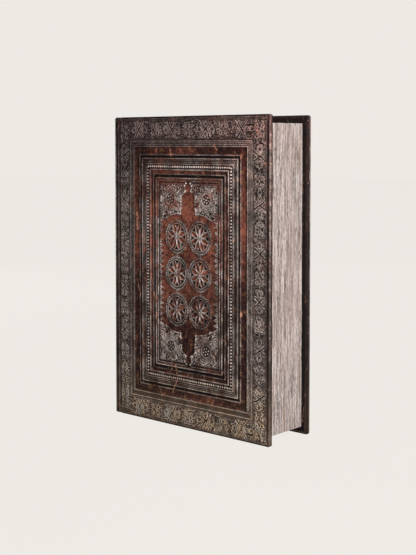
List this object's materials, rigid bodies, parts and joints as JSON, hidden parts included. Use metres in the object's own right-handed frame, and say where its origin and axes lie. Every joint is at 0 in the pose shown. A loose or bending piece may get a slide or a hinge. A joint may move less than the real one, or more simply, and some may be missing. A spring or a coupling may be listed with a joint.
{
  "type": "cryptex book case",
  "caption": "Closed tooled-leather book with page edges: a hinged presentation case that holds a letter-ring cryptex in a velvet cradle.",
  "frame": {"origin": "middle of the tail edges that the closed case stands on", "axes": "+X from the spine to the fore edge, +Y from the front cover to the back cover, +Z from tail to head"},
  "size_m": [0.179, 0.0562, 0.27],
  "materials": {
    "tooled_leather": "satin",
    "binders_board": "matte",
    "lining_paper": "matte",
    "page_edges": "matte",
    "tray_wood": "matte",
    "velvet": "matte",
    "closure_steel": "satin",
    "aged_brass": "satin",
    "dark_bronze": "satin",
    "ring_brass": "satin",
    "code_ring_steel": "satin",
    "tube_brass": "satin",
    "pin_steel": "satin",
    "index_red": "satin",
    "cork": "matte",
    "parchment": "matte"
  },
  "bodies": {
    "case": {"hinge_leather": "tooled_leather", "spine_leather": "tooled_leather", "back_cover_leather": "tooled_leather", "spine_board": "binders_board", "back_cover_board": "binders_board", "back_liner": "lining_paper", "page_edge_wrap": "page_edges", "tray_floor": "tray_wood", "head_wall": "tray_wood", "tail_wall": "tray_wood", "fore_edge_wall": "tray_wood", "spine_wall": "tray_wood", "tray_lining": "velvet", "cradle": "velvet", "closure_magnets": "closure_steel", "base_cap": "aged_brass", "base_finial": "aged_brass", "retaining_collar": "aged_brass", "base_cap_band": "dark_bronze", "spacer_washers": "code_ring_steel", "barrel": "tube_brass", "base_cap_screws": "pin_steel", "index_marks": "index_red"},
    "front_cover": {"front_cover_board": "binders_board", "front_cover_leather": "tooled_leather", "front_pastedown": "lining_paper", "keeper_plates": "closure_steel"},
    "ring_1": {"letter_ring_1": "ring_brass", "code_ring_1": "code_ring_steel"},
    "ring_2": {"letter_ring_2": "ring_brass", "code_ring_2": "code_ring_steel"},
    "ring_3": {"letter_ring_3": "ring_brass", "code_ring_3": "code_ring_steel"},
    "ring_4": {"letter_ring_4": "ring_brass", "code_ring_4": "code_ring_steel"},
    "ring_5": {"letter_ring_5": "ring_brass", "code_ring_5": "code_ring_steel"},
    "draw_tube": {"inner_tube": "tube_brass", "lug_pins": "pin_steel", "tube_stopper": "cork", "scroll": "parchment", "pull_cap": "aged_brass", "pull_cap_band": "dark_bronze", "pull_finial": "aged_brass", "pull_cap_screws": "pin_steel"}
  },
  "joints": [
    {"name": "cover_hinge", "type": "hinge", "parent": "case", "child": "front_cover", "pos_m": [-0.08395, -0.0282, 0.135], "axis": [0, 0, -1], "range_deg": [0, 180]},
    {"name": "ring_1_turn", "type": "hinge", "parent": "case", "child": "ring_1", "pos_m": [-0.00075, -0.0012, 0.06695], "axis": [0, 0, 1], "continuous": true},
    {"name": "ring_2_turn", "type": "hinge", "parent": "case", "child": "ring_2", "pos_m": [-0.00075, -0.0012, 0.08035], "axis": [0, 0, 1], "continuous": true},
    {"name": "ring_3_turn", "type": "hinge", "parent": "case", "child": "ring_3", "pos_m": [-0.00075, -0.0012, 0.09375], "axis": [0, 0, 1], "continuous": true},
    {"name": "ring_4_turn", "type": "hinge", "parent": "case", "child": "ring_4", "pos_m": [-0.00075, -0.0012, 0.10715], "axis": [0, 0, 1], "continuous": true},
    {"name": "ring_5_turn", "type": "hinge", "parent": "case", "child": "ring_5", "pos_m": [-0.00075, -0.0012, 0.12055], "axis": [0, 0, 1], "continuous": true},
    {"name": "tube_draw", "type": "slide", "parent": "case", "child": "draw_tube", "axis": [0, 0, 1], "range_m": [0, 0.07]}
  ]
}
